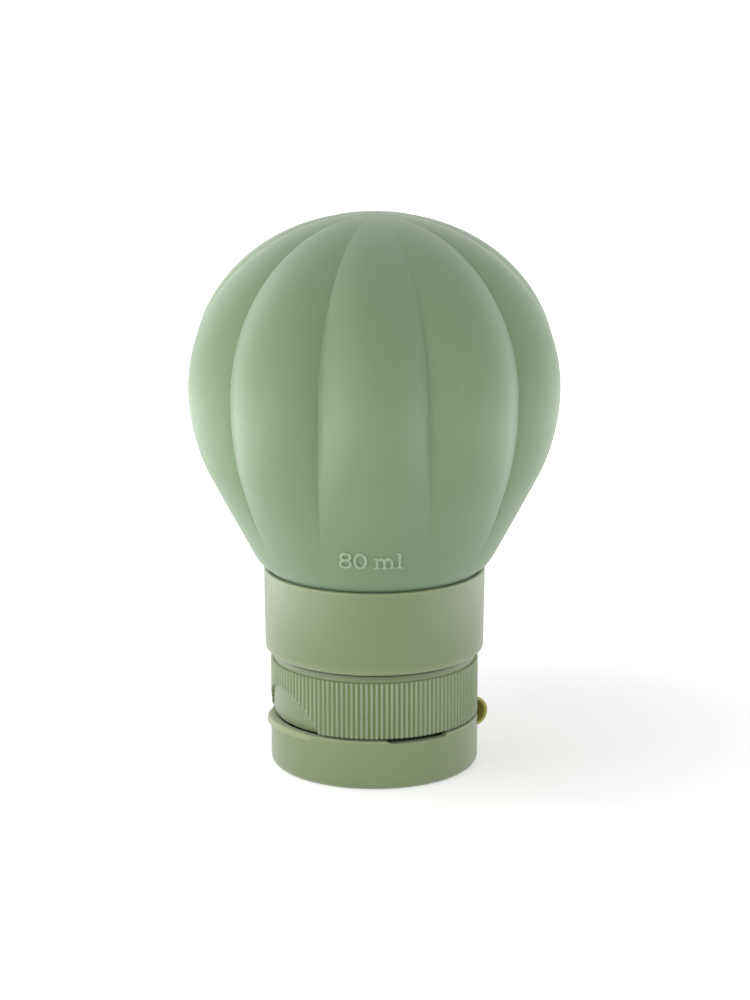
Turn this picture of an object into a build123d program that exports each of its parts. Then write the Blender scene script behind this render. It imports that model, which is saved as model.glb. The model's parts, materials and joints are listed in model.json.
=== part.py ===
from build123d import *
from math import acos, asin, atan2, cos, degrees, pi, radians, sin, sqrt
import os

# Squeezable travel bottle standing on its flip lid, as photographed.
# Millimetres and degrees. The origin is the centre of the lid's flat face, which
# rests on the table. +Z points up to the crown of the silicone bulb and -Y to the
# front gore, the one that carries the capacity mark.

# Clearances between pieces
seat_gap = 0.1
running_gap = 0.3
overrun = 2.0

# Silicone bulb: ten gores like those of a hot-air balloon
gore_count = 10
gore_facets = 4
bulb_radius = 30.7
crown_height = 26.85
crown_flat_radius = 2.6
belly_height = 31.1
belly_fall = 1.65
heel_height = 2.7
heel_overhang = 1.65
tuck_height = 1.2
tuck_overhang = 0.72
groove_depth_share = 0.092
groove_crown_loss_share = 0.35
groove_reach = 22.6
front_gore_spread = 6.3
bulb_wall = 2.5
neck_wall = 3.1
belly_shares = (0.2, 0.45, 0.72)
crown_shares = (0.26, 0.5, 0.7, 0.87)
cavity_gore_facets = 2

# Threaded neck insert, pushed up into the silicone neck
thread_room = 1.2
neck_tube_wall = 2.2
spigot_wall = 1.8
spigot_length = 8.8
insert_flange_thickness = 1.5

# Outer collar round the neck
collar_height = 13.75
collar_wall = 1.63
collar_spread = 0.21
collar_rim_wall = 0.68
collar_flange_thickness = 1.5
collar_flare_height = 3.0
collar_edge = 0.9

# Ribbed screw cap
cap_radius = 17.0
cap_height = 10.35
rib_count = 130
rib_depth = 0.3
rib_band_height = 9.25
rib_end_gap = 0.2
cap_bore_wall = 2.1
crown_ring_inset = 3.8
crown_ring_wall = 1.3
crown_drop = 3.65
deck_thickness = 1.3
shoulder_thickness = 3.15

# Thumb scoop in the ribs, above the lid's lip
lip_azimuth = -64.5
scoop_half_width = 9.1
scoop_height = 5.95
scoop_depth_top = 0.6
scoop_depth_bottom = 0.5
scoop_foot_height = 0.8
scoop_foot_inset = 0.45

# Outlet, slit valve and the ring that holds it
outlet_radius = 2.4
spout_wall = 1.2
spout_drop = 1.4
valve_radius = 6.0
valve_window_radius = 4.3
valve_flange_thickness = 1.2
valve_skin = 0.5
slit_length = 4.6
slit_width = 0.16
pocket_wall = 1.3
pocket_height = 3.0
retainer_thickness = 1.5
retainer_width = 1.5

# Flat ring seal between the neck and the cap
seal_thickness = 1.2
seal_width = 2.4

# Flip lid
lid_height = 8.3
parting_gap = 0.35
lid_wall = 1.1
lid_floor = 1.2
lid_edge = 1.0
lip_reach = 0.95
lip_half_angle = 31.0
lip_thickness = 1.15
lip_rise = 0.4
notch_half_width = 5.4
notch_slope = 0.55
notch_depth = 0.45
plug_radius = 2.0
plug_tip_radius = 1.7
plug_bore_radius = 0.9
plug_engagement = 1.6

# Living-hinge strap behind the lid
hinge_inset = 2.2
hinge_back_wall = 1.1
strap_end_inset = 0.06
strap_height = 4.86
strap_reach = 1.95
strap_thickness = 0.5
strap_film_share = 0.5
strap_film_length = 0.5

# Heights that follow from the sizes above, from the table up
cap_bottom = lid_height + parting_gap
cap_top = cap_bottom + cap_height
deck_bottom = cap_bottom - crown_drop
deck_top = deck_bottom + deck_thickness
spout_end = deck_bottom - spout_drop
seal_seat = cap_bottom + shoulder_thickness
neck_end = seal_seat + seal_thickness
collar_bottom = cap_top + running_gap
collar_top = collar_bottom + collar_height
flare_bottom = collar_top - collar_flare_height
insert_flange_bottom = collar_bottom + collar_flange_thickness
insert_flange_top = insert_flange_bottom + insert_flange_thickness
spigot_top = insert_flange_top + spigot_length
heel = collar_top + heel_height
equator = collar_top + belly_height
crown_top = equator + crown_height

# Radii that follow from the cap outwards
rib_root_radius = cap_radius - rib_depth
cap_bore_radius = rib_root_radius - cap_bore_wall
crown_ring_radius = cap_radius - crown_ring_inset
neck_tube_radius = cap_bore_radius - thread_room
mouth_radius = neck_tube_radius - neck_tube_wall
spigot_radius = mouth_radius + spigot_wall
neck_radius = spigot_radius + neck_wall
collar_bore_radius = neck_radius + seat_gap
collar_bottom_radius = collar_bore_radius + collar_wall
collar_top_radius = collar_bottom_radius + collar_spread
collar_rim_bore_radius = collar_top_radius - collar_rim_wall
neck_mouth_radius = collar_rim_bore_radius - running_gap
tuck_radius = collar_top_radius + tuck_overhang
heel_radius = collar_top_radius + heel_overhang
spout_radius = outlet_radius + spout_wall

# The hinge, straight across from the lip
hinge_azimuth = lip_azimuth + 180
hinge_height = lid_height + parting_gap / 2
hinge_flat_distance = cap_radius - hinge_inset
strap_half_width = sqrt(cap_radius**2 - hinge_flat_distance**2) - strap_end_inset


def ring_at(inner, outer, low, high):
    """A plain tube or disc standing on height low."""
    body = extrude(Circle(outer), high - low)
    if inner > 0:
        body -= extrude(Circle(inner), high - low)
    return Pos(0, 0, low) * body


def turned(points):
    """A body of revolution from an outline of (radius, height) points."""
    return revolve(Plane.XZ * make_face(Polyline(*points, close=True)), Axis.Z)


def facing(azimuth):
    """A frame whose x axis points outwards at an azimuth counted from the front."""
    return Rot(0, 0, azimuth - 90)


def block(x_low, x_high, half_width, low, high):
    """A box that spans x_low to x_high, centred across y."""
    sizes = (x_high - x_low, 2 * half_width, high - low)
    return Pos(x_low, 0, low) * Box(*sizes, align=(Align.MIN, Align.CENTER, Align.MIN))


# Bulb

def crest_radius(height):
    """Radius of the bulb along the middle of a gore: half ellipse over a tapering belly."""
    if height >= equator:
        return bulb_radius * sqrt(1 - ((height - equator) / crown_height) ** 2)
    share = (equator - height) / (equator - heel)
    return bulb_radius - (bulb_radius - heel_radius) * share**belly_fall


def groove_share(height):
    """Depth of the crease between gores, as a share of the radius there. It lasts to the crown."""
    if height > equator:
        rise_share = (height - equator) / crown_height
        return groove_depth_share * (1 - groove_crown_loss_share * rise_share**2)
    return groove_depth_share * max(0, 1 - ((equator - height) / groove_reach) ** 2)


def crease_angles(height):
    """Azimuths of the creases. The front and back gores widen towards the neck."""
    down_share = max(0, equator - height) / (equator - heel)
    spread = front_gore_spread * min(down_share, 1) ** 2
    step = 360 / gore_count
    angles = []
    for number in range(gore_count):
        angle = (number + 0.5) * step
        if number in (0, gore_count // 2):
            angle += spread
        if number in (gore_count // 2 - 1, gore_count - 1):
            angle -= spread
        angles.append(angle)
    return angles


def gored_ring(height, crest, groove, facets=gore_facets):
    """Points round the bulb at one height, on an outward arc across each gore."""
    valley = crest * (1 - groove)
    angles = crease_angles(height)
    points = []
    for start, end in zip(angles, angles[1:] + angles[:1]):
        half = radians((end - start) % 360 / 2)
        middle = radians(start) + half
        rise = crest - valley * cos(half)
        bend = ((valley * sin(half)) ** 2 + rise**2) / (2 * rise)
        centre = crest - bend
        span = atan2(valley * sin(half), valley * cos(half) - centre)
        for step in range(facets):
            turn = span * (2 * step / facets - 1)
            across = bend * sin(turn)
            out = centre + bend * cos(turn)
            x = out * sin(middle) + across * cos(middle)
            y = across * sin(middle) - out * cos(middle)
            points.append((x, y, height))
    return points


def skinned(rings):
    """A closed solid over rings of points, with flat triangles between them."""
    faces = [Face(Wire.make_polygon(ring)) for ring in (rings[0], rings[-1])]
    for lower, upper in zip(rings, rings[1:]):
        for here, corner in enumerate(lower):
            after = (here + 1) % len(lower)
            faces.append(Face(Wire.make_polygon([corner, lower[after], upper[after]])))
            faces.append(Face(Wire.make_polygon([corner, upper[after], upper[here]])))
    return Solid(Shell(faces))


def shell_heights():
    """Heights of the rings over the belly and the crown, without the flat on top."""
    heights = [heel + share * (equator - heel) for share in belly_shares]
    return heights + [equator] + [equator + share * crown_height for share in crown_shares]


def make_bulb():
    """Hollow silicone body: gored inside and out, open at the neck."""
    flat_height = equator + crown_height * sqrt(1 - (crown_flat_radius / bulb_radius) ** 2)
    rings = [
        gored_ring(insert_flange_top, neck_radius, 0),
        gored_ring(flare_bottom, neck_radius, 0),
        gored_ring(collar_top, neck_mouth_radius, 0),
        gored_ring(collar_top + tuck_height, tuck_radius, 0),
        gored_ring(heel, heel_radius, 0),
    ]
    rings += [gored_ring(z, crest_radius(z), groove_share(z)) for z in shell_heights()]
    rings.append(gored_ring(flat_height, crown_flat_radius, groove_share(flat_height)))
    bore = ring_at(0, spigot_radius, insert_flange_top - overrun, spigot_top + running_gap)
    return Part() + skinned(rings) - make_cavity() - bore


def make_cavity():
    """The space for the liquid, one wall inside the outer skin."""
    low = spigot_top + running_gap
    sink_share = bulb_wall / crown_height
    rings = [
        gored_ring(low, spigot_radius + seat_gap, 0, cavity_gore_facets),
        gored_ring(heel, heel_radius - bulb_wall, 0, cavity_gore_facets),
    ]
    for z in shell_heights():
        height = z - sink_share * max(0, z - equator)
        rings.append(gored_ring(height, crest_radius(z) - bulb_wall, groove_share(z), cavity_gore_facets))
    rings.append(gored_ring(crown_top - bulb_wall, crown_flat_radius, 0, cavity_gore_facets))
    return skinned(rings)


# Insert and collar

def make_neck_insert():
    """Rigid mouth of the bottle: spigot, flange and plain tube for the thread."""
    body = ring_at(0, neck_tube_radius, neck_end, insert_flange_bottom)
    body += ring_at(0, neck_radius, insert_flange_bottom, insert_flange_top)
    body += ring_at(0, spigot_radius, insert_flange_top, spigot_top)
    return body - ring_at(0, mouth_radius, neck_end - overrun, spigot_top + overrun)


def make_collar():
    """Smooth tapered ring that clamps the silicone neck onto the insert."""
    hole_radius = neck_tube_radius + running_gap
    side_slope = collar_spread / collar_height
    return turned(
        [
            (hole_radius, collar_bottom),
            (collar_bottom_radius - collar_edge, collar_bottom),
            (collar_bottom_radius + collar_edge * side_slope, collar_bottom + collar_edge),
            (collar_top_radius, collar_top),
            (collar_rim_bore_radius, collar_top),
            (collar_rim_bore_radius, flare_bottom),
            (collar_bore_radius, flare_bottom),
            (collar_bore_radius, insert_flange_bottom),
            (hole_radius, insert_flange_bottom),
        ]
    )


# Cap

def rib_outline():
    """Outline of the ribbed skirt: crests and roots in turn."""
    half_step = pi / rib_count
    points = []
    for number in range(2 * rib_count):
        radius = rib_root_radius if number % 2 else cap_radius
        points.append((radius * cos(number * half_step), radius * sin(number * half_step)))
    return make_face(Polyline(*points, close=True))


def make_scoop():
    """What the thumb scoop takes out of the ribs: a round-topped recess with a sloping foot."""
    top = cap_bottom + scoop_height
    radius = (scoop_half_width**2 + scoop_height**2) / (2 * scoop_height)
    low = cap_bottom - overrun
    outer = cap_radius + overrun
    band = turned(
        [
            (cap_radius - scoop_depth_bottom, cap_bottom + scoop_foot_height),
            (cap_radius - scoop_depth_bottom - scoop_foot_inset, cap_bottom),
            (cap_radius - scoop_depth_bottom - scoop_foot_inset, low),
            (outer, low),
            (outer, top + overrun),
            (cap_radius - scoop_depth_top, top + overrun),
        ]
    )
    drill = Rot(0, 90, 0) * extrude(Circle(radius), outer)
    return facing(lip_azimuth) * (Pos(0, 0, top - radius) * drill & band)


def make_hinge_pocket(low, high):
    """Flat-backed pocket behind the hinge, where the strap is joined on."""
    pocket = block(hinge_flat_distance, cap_radius + overrun, cap_radius, low, high)
    return facing(hinge_azimuth) * pocket


def make_cap():
    """Screw cap: ribbed skirt, shoulder, raised deck with the spout and valve pocket."""
    rib_top = cap_bottom + rib_band_height
    body = Pos(0, 0, cap_bottom) * extrude(rib_outline(), rib_band_height)
    body += ring_at(0, rib_root_radius - rib_end_gap, rib_top, cap_top)
    body += ring_at(0, crown_ring_radius, deck_bottom, cap_bottom)
    body += ring_at(0, spout_radius, spout_end, deck_bottom)
    body -= make_scoop()
    body -= make_hinge_pocket(cap_bottom, hinge_height + strap_height / 2 + running_gap)
    body -= ring_at(0, cap_bore_radius, seal_seat, cap_top)
    body -= ring_at(0, crown_ring_radius - crown_ring_wall, deck_top, seal_seat)
    body -= ring_at(0, outlet_radius, spout_end, deck_top)
    pocket_radius = valve_radius + seat_gap
    body += ring_at(pocket_radius, pocket_radius + pocket_wall, deck_top, deck_top + pocket_height)
    return body


def make_slit_valve():
    """Silicone disc that only opens under a squeeze: thick rim, thin skin, crossed slits."""
    top = deck_top + valve_flange_thickness
    body = ring_at(0, valve_radius, deck_top, top)
    body -= ring_at(0, valve_window_radius, deck_top, top - valve_skin)
    cut = Box(slit_length, slit_width, overrun)
    return body - Pos(0, 0, top) * (cut + Rot(0, 0, 90) * cut)


def make_valve_retainer():
    """Ring pressed into the pocket behind the valve, holding its rim down."""
    low = deck_top + valve_flange_thickness
    return ring_at(valve_radius - retainer_width, valve_radius, low, low + retainer_thickness)


def make_seal_ring():
    """Flat soft ring between the end of the neck and the cap's shoulder."""
    outer = cap_bore_radius - seat_gap
    return ring_at(outer - seal_width, outer, seal_seat, neck_end)


# Lid and strap

def make_lip():
    """Crescent that stands out of the lid's rim for the thumb, turned up towards its tip."""
    tip = cap_radius + lip_reach
    chord = cap_radius * cos(radians(lip_half_angle))
    shift = (tip**2 - cap_radius**2) / (2 * (tip - chord))
    tilt = degrees(atan2(lip_rise, tip - chord))
    disc = Pos(shift - chord, 0, -lip_thickness) * extrude(Circle(tip - shift), lip_thickness)
    return facing(lip_azimuth) * (Pos(chord, 0, lid_height) * Rot(0, -tilt, 0) * disc)


def make_notch():
    """Shallow slant-ended dip in the rim, as seen at the side of the lid."""
    outline = Polyline(
        (-notch_half_width, lid_height),
        (notch_slope - notch_half_width, lid_height - notch_depth),
        (notch_half_width - notch_slope, lid_height - notch_depth),
        (notch_half_width, lid_height),
        close=True,
    )
    return extrude(Plane.YZ * make_face(outline), cap_radius + overrun)


def make_plug():
    """Hollow pin on the lid's floor that closes the outlet, tapered at its tip."""
    plug_top = spout_end + plug_engagement
    return turned(
        [
            (plug_bore_radius, lid_floor),
            (plug_radius, lid_floor),
            (plug_radius, spout_end),
            (plug_tip_radius, plug_top),
            (plug_bore_radius, plug_top),
        ]
    )


def make_flip_lid():
    """Shallow cup that closes over the spout, with a hollow plug for the outlet."""
    body = extrude(Circle(cap_radius), lid_height)
    body = chamfer(body.edges().group_by(Axis.Z)[0], lid_edge)
    body += make_lip()
    room = ring_at(0, cap_radius - lid_wall, lid_floor, lid_height + overrun)
    hinge_side = hinge_flat_distance - hinge_back_wall
    room -= facing(hinge_azimuth) * block(hinge_side, cap_radius, cap_radius, 0, lid_height)
    body -= room
    body -= make_hinge_pocket(hinge_height - strap_height / 2 - running_gap, lid_height)
    for side in (90, -90):
        body -= facing(lip_azimuth + side) * make_notch()
    return body + make_plug()


def make_hinge_strap():
    """Bent band that joins lid and cap, thinned to a film line at either end."""
    half = strap_height / 2
    outer = (half**2 + strap_reach**2) / (2 * strap_reach)
    inner = outer - strap_thickness
    film = outer - strap_thickness * strap_film_share
    back = outer - strap_reach
    end = degrees(asin(half / outer))
    film_end = degrees(acos(back / film))
    film_start = end - degrees(strap_film_length / outer)

    def at(distance, angle):
        return (distance * cos(radians(angle)), distance * sin(radians(angle)))

    lines = [
        CenterArc((0, 0), outer, -end, 2 * end),
        CenterArc((0, 0), inner, -film_start, 2 * film_start),
    ]
    for side in (1, -1):
        lines += [
            Line(at(outer, side * end), at(film, side * film_end)),
            CenterArc((0, 0), film, side * film_start, side * (film_end - film_start)),
            Line(at(film, side * film_start), at(inner, side * film_start)),
        ]
    section = Pos(hinge_flat_distance - back, hinge_height) * make_face(lines)
    band = extrude(Plane.XZ * section, strap_half_width, both=True)
    return facing(hinge_azimuth) * band


pieces = {
    "bulb": make_bulb,
    "neck_insert": make_neck_insert,
    "collar": make_collar,
    "screw_cap": make_cap,
    "slit_valve": make_slit_valve,
    "valve_retainer": make_valve_retainer,
    "seal_ring": make_seal_ring,
    "flip_lid": make_flip_lid,
    "hinge_strap": make_hinge_strap,
}

os.makedirs("parts", exist_ok=True)
for name, make in pieces.items():
    export_step(make(), f"parts/{name}.step")
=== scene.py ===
import json
import math

import bpy
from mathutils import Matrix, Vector

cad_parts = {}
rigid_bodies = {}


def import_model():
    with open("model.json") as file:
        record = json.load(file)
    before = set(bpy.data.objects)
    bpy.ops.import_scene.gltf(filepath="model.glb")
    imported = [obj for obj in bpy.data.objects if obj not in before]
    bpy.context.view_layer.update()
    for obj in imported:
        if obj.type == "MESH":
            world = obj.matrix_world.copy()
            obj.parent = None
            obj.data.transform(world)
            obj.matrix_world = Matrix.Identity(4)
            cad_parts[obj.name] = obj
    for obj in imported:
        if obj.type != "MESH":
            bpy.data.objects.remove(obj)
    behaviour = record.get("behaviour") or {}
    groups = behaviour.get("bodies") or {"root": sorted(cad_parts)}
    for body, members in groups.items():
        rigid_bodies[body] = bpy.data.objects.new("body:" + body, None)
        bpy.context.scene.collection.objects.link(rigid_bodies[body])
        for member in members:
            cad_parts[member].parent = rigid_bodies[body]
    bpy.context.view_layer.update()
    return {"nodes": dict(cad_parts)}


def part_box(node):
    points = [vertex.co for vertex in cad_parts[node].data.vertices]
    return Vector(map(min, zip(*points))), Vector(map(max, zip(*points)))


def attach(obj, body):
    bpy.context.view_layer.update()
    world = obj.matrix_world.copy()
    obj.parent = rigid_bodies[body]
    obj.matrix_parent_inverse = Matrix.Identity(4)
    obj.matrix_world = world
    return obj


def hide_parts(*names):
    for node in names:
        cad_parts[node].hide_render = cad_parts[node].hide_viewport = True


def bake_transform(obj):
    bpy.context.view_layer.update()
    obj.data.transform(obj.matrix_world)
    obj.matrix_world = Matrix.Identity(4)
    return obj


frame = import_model()

# Silicone bulb: the squeezable body, soft and matt, with ten gores like those of a hot-air balloon.
# Moulded in one from sage silicone about 2.5 mm thick, with its neck pushed down inside the collar
# and held there over the rigid insert.
MM = 0.001
TURN = 2 * math.pi
TOUCHING = 0.002 * MM
GORES = 10
STEPS_PER_GORE = 10
STRAIGHT_RINGS = 5
BELLY_RINGS = 9
CROWN_RINGS = 16
CROWN_ARC = math.radians(87.5)
CREASE_STEP_SHARE = 0.012
BULB_RADIUS = 30.7 * MM
CROWN_HEIGHT = 26.85 * MM
BELLY_BEND = 32.1 * MM
HEEL_RADIUS = 19.69 * MM
HEEL_ABOVE_COLLAR = 2.7 * MM
TUCK_RADIUS = 18.76 * MM
TUCK_ABOVE_COLLAR = 1.2 * MM
EQUATOR_ABOVE_COLLAR = 31.1 * MM
NECK_OUTER = 16.1 * MM
NECK_AT_RIM = 17.06 * MM
NECK_RINGS_ABOVE_COLLAR = (
    (-3.2 * MM, NECK_OUTER),
    (-1.0 * MM, NECK_AT_RIM - 0.2 * MM),
    (0, NECK_AT_RIM),
    (0.5 * MM, NECK_AT_RIM + 0.6 * MM),
    (TUCK_ABOVE_COLLAR, TUCK_RADIUS),
)
CREASE_SHARE = 0.092
CREASE_LOSS_SHARE = 0.35
CREASE_REACH = 22.6 * MM
FAINT_CREASE_SHARE = 0.02
FAINT_FADE_POWER = 6
CREASE_LINE_SHARE = 0.008
CREASE_LINE_END = 6 * MM
CREASE_LINE_ANGLE = 0.002
FRONT_SPREAD = math.radians(6.3)
WALL = 2.5 * MM
BULB_SAGE = (134, 165, 120)


def part_of(name):
    """Names the active object and its mesh."""
    piece = bpy.context.object
    piece.name = name
    piece.data.name = name
    return piece


def choose(piece):
    """Makes this piece the only one selected, and the active one."""
    bpy.ops.object.select_all(action="DESELECT")
    bpy.context.view_layer.objects.active = piece
    piece.select_set(True)


def edit(piece):
    """Goes into edit mode on this piece alone, with nothing of it selected."""
    choose(piece)
    bpy.ops.object.mode_set(mode="EDIT")
    bpy.ops.mesh.select_all(action="DESELECT")


def leave():
    """Goes back to object mode."""
    bpy.ops.object.mode_set(mode="OBJECT")


def start_mesh(name):
    """An empty mesh at the world's origin, open in edit mode."""
    bpy.ops.object.select_all(action="DESELECT")
    bpy.ops.mesh.primitive_plane_add(size=MM)
    piece = part_of(name)
    edit(piece)
    bpy.ops.mesh.select_all(action="SELECT")
    bpy.ops.mesh.delete(type="VERT")
    return piece


def pin_point(place):
    """One loose vertex, selected, to be drawn out into a line."""
    bpy.ops.mesh.select_all(action="DESELECT")
    bpy.ops.mesh.primitive_plane_add(size=MM, location=place)
    bpy.ops.mesh.merge(type="CENTER")


def draw_outline(corners):
    """Draws a line from corner to corner, each given by its radius and height."""
    pin_point((corners[0][0], 0, corners[0][1]))
    for before, after in zip(corners, corners[1:]):
        move = (after[0] - before[0], 0, after[1] - before[1])
        bpy.ops.mesh.extrude_region_move(TRANSFORM_OT_translate={"value": move})


def pick(piece, wanted):
    """Selects the vertices that answer to wanted(place)."""
    bpy.ops.mesh.select_mode(type="VERT")
    bpy.ops.mesh.select_all(action="DESELECT")
    leave()
    for corner in piece.data.vertices:
        corner.select = wanted(corner.co)
    bpy.ops.object.mode_set(mode="EDIT")


def merge_touching():
    """Merges the vertices that touch, and leaves the whole mesh selected."""
    bpy.ops.mesh.select_mode(type="VERT")
    bpy.ops.mesh.select_all(action="SELECT")
    bpy.ops.mesh.remove_doubles(threshold=TOUCHING)


def seal_up():
    """Merges what touches and turns every face outwards."""
    merge_touching()
    bpy.ops.mesh.normals_make_consistent(inside=False)


def apply_modifier(piece, kind, **settings):
    """Adds a modifier, sets it and applies it."""
    choose(piece)
    modifier = piece.modifiers.new(kind.lower(), kind)
    for setting, value in settings.items():
        setattr(modifier, setting, value)
    bpy.ops.object.modifier_apply(modifier=modifier.name)


def smooth(piece, degrees=None):
    """Shades a piece smooth, or smooth only where faces meet at less than an angle."""
    choose(piece)
    if degrees is None:
        bpy.ops.object.shade_smooth()
    else:
        bpy.ops.object.shade_smooth_by_angle(angle=math.radians(degrees))


def polar(radius, azimuth, height):
    """A place round the axis, with azimuth 0 at the front and 90 degrees on the right."""
    return (radius * math.sin(azimuth), -radius * math.cos(azimuth), height)


collar_low, collar_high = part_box("collar")
collar_top = collar_high.z
equator = collar_top + EQUATOR_ABOVE_COLLAR
heel = collar_top + HEEL_ABOVE_COLLAR
belly_centre = BULB_RADIUS - BELLY_BEND
heel_distance = math.hypot(HEEL_RADIUS - belly_centre, heel - equator)
heel_angle = math.atan2(equator - heel, HEEL_RADIUS - belly_centre)
belly_end = heel_angle - math.acos(BELLY_BEND / heel_distance)
straight_radius = belly_centre + BELLY_BEND * math.cos(belly_end)
straight_top = equator - BELLY_BEND * math.sin(belly_end)
top_ring = equator + CROWN_HEIGHT * math.sin(CROWN_ARC)


def crease_depth(height):
    """Share of the radius that the crease is sunk: it lasts to the crown, and fades out at the neck."""
    if height > equator:
        return CREASE_SHARE * (1 - CREASE_LOSS_SHARE * ((height - equator) / CROWN_HEIGHT) ** 2)
    down = equator - height
    fade = max(0, 1 - (down / (equator - heel)) ** FAINT_FADE_POWER)
    return max(CREASE_SHARE * (1 - (down / CREASE_REACH) ** 2), FAINT_CREASE_SHARE * fade)


def gore_edges(height):
    """Azimuths of the creases: the front and back gores widen towards the neck."""
    down = min(max(0, equator - height) / (equator - heel), 1)
    spread = FRONT_SPREAD * down**2
    edges = [(number + 0.5) * TURN / GORES for number in range(GORES)]
    for number in (0, GORES // 2):
        edges[number] += spread
        edges[number - 1] -= spread
    return edges


def gore_ring(height, crest, depth):
    """Draws one ring of the bulb, sweeping a vertex across each gore in turn."""
    valley = crest * (1 - depth)
    edges = gore_edges(height)
    pin_point(polar(valley, edges[-1], height))
    for before, after in zip(edges[-1:] + edges[:-1], edges):
        half = (after - before) % TURN / 2
        middle = before + half
        rise = crest - valley * math.cos(half)
        bend = ((valley * math.sin(half)) ** 2 + rise**2) / (2 * rise)
        sweep = 2 * math.atan2(valley * math.sin(half), valley * math.cos(half) - crest + bend)
        centre = polar(crest - bend, middle, height)
        for share, steps in (
            (CREASE_STEP_SHARE, 1),
            (1 - 2 * CREASE_STEP_SHARE, STEPS_PER_GORE),
            (CREASE_STEP_SHARE, 1),
        ):
            bpy.ops.mesh.spin(steps=steps, angle=-sweep * share, center=centre, axis=(0, 0, 1))


bulb = start_mesh("silicone_bulb")
gore_ring(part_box("bulb")[0].z, NECK_OUTER, 0)
for above_collar, radius in NECK_RINGS_ABOVE_COLLAR:
    gore_ring(collar_top + above_collar, radius, 0)
for number in range(STRAIGHT_RINGS):
    share = number / STRAIGHT_RINGS
    height = heel + share * (straight_top - heel)
    gore_ring(height, HEEL_RADIUS + share * (straight_radius - HEEL_RADIUS), crease_depth(height))
for number in range(BELLY_RINGS):
    angle = belly_end * (1 - number / BELLY_RINGS)
    height = equator - BELLY_BEND * math.sin(angle)
    gore_ring(height, belly_centre + BELLY_BEND * math.cos(angle), crease_depth(height))
for number in range(CROWN_RINGS):
    angle = CROWN_ARC * number / (CROWN_RINGS - 1)
    height = equator + CROWN_HEIGHT * math.sin(angle)
    gore_ring(height, BULB_RADIUS * math.cos(angle), crease_depth(height))
merge_touching()
bpy.ops.mesh.bridge_edge_loops()
pick(bulb, lambda place: place.z > top_ring - TOUCHING)
bpy.ops.mesh.edge_face_add()
bpy.ops.mesh.poke()
seal_up()


def in_crease(place):
    """Answers for the vertices along the bottom of a crease, short of its faded lower end."""
    azimuth = math.atan2(place.x, -place.y)
    aside = min(abs((azimuth - line + math.pi) % TURN - math.pi) for line in gore_edges(place.z))
    return heel + CREASE_LINE_END < place.z < top_ring and aside < CREASE_LINE_ANGLE


def shrink_to_axis(share):
    """Moves what is selected towards the bottle's axis, to a share of its radius."""
    bpy.ops.transform.resize(value=(share, share, 1), center_override=(0, 0, 0))


pick(bulb, in_crease)
shrink_to_axis(1 - CREASE_LINE_SHARE)
leave()
apply_modifier(bulb, "SOLIDIFY", thickness=WALL, offset=-1)
apply_modifier(bulb, "SUBSURF", levels=1, render_levels=1)
smooth(bulb)
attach(bulb, "bottle")
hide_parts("bulb")


class Signal:
    """A shader value that takes part in plain arithmetic."""

    def __init__(self, finish, socket):
        self.finish = finish
        self.socket = socket

    def join(self, operation, first, second):
        return self.finish.node("ShaderNodeMath", {"operation": operation}, {0: first, 1: second})

    def __add__(self, other):
        return self.join("ADD", self, other)

    def __sub__(self, other):
        return self.join("SUBTRACT", self, other)

    def __rsub__(self, other):
        return self.join("SUBTRACT", other, self)

    def __mul__(self, other):
        return self.join("MULTIPLY", self, other)

    __radd__ = __add__
    __rmul__ = __mul__


def linear(colour):
    """A colour as the eye reads it, 0 to 255, turned into the opaque light that a shader wants."""
    return (*[((part / 255 + 0.055) / 1.055) ** 2.4 for part in colour], 1)


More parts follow.
